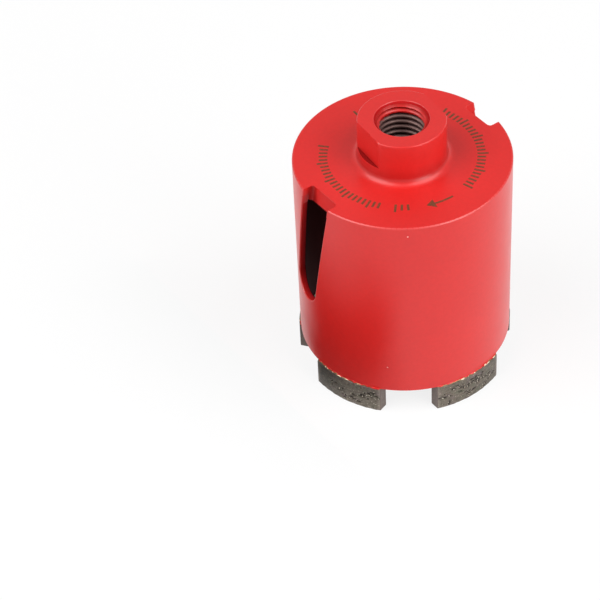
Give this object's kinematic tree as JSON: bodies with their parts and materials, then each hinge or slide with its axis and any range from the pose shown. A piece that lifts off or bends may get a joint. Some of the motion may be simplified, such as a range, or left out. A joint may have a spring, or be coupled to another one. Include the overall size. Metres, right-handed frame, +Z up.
{
  "type": "diamond core bit",
  "caption": "Dry core bit with a slotted steel barrel, a threaded hub with wrench flats, and diamond segments brazed to its lower edge.",
  "frame": {"origin": "centre of the circle that the segments stand on, at their cutting faces", "axes": "+Z up the drilling axis, from the cutting faces to the hub; +X and -X through the mouths of the two slots"},
  "size_m": [0.068, 0.0675, 0.0913],
  "materials": {
    "paint": "satin",
    "segment": "matte",
    "braze": "satin"
  },
  "bodies": {
    "root": {"hub_flange": "paint", "barrel": "paint", "segment_1": "segment", "segment_2": "segment", "segment_3": "segment", "segment_4": "segment", "segment_5": "segment", "braze_1": "braze", "braze_2": "braze", "braze_3": "braze", "braze_4": "braze", "braze_5": "braze"}
  },
  "joints": []
}
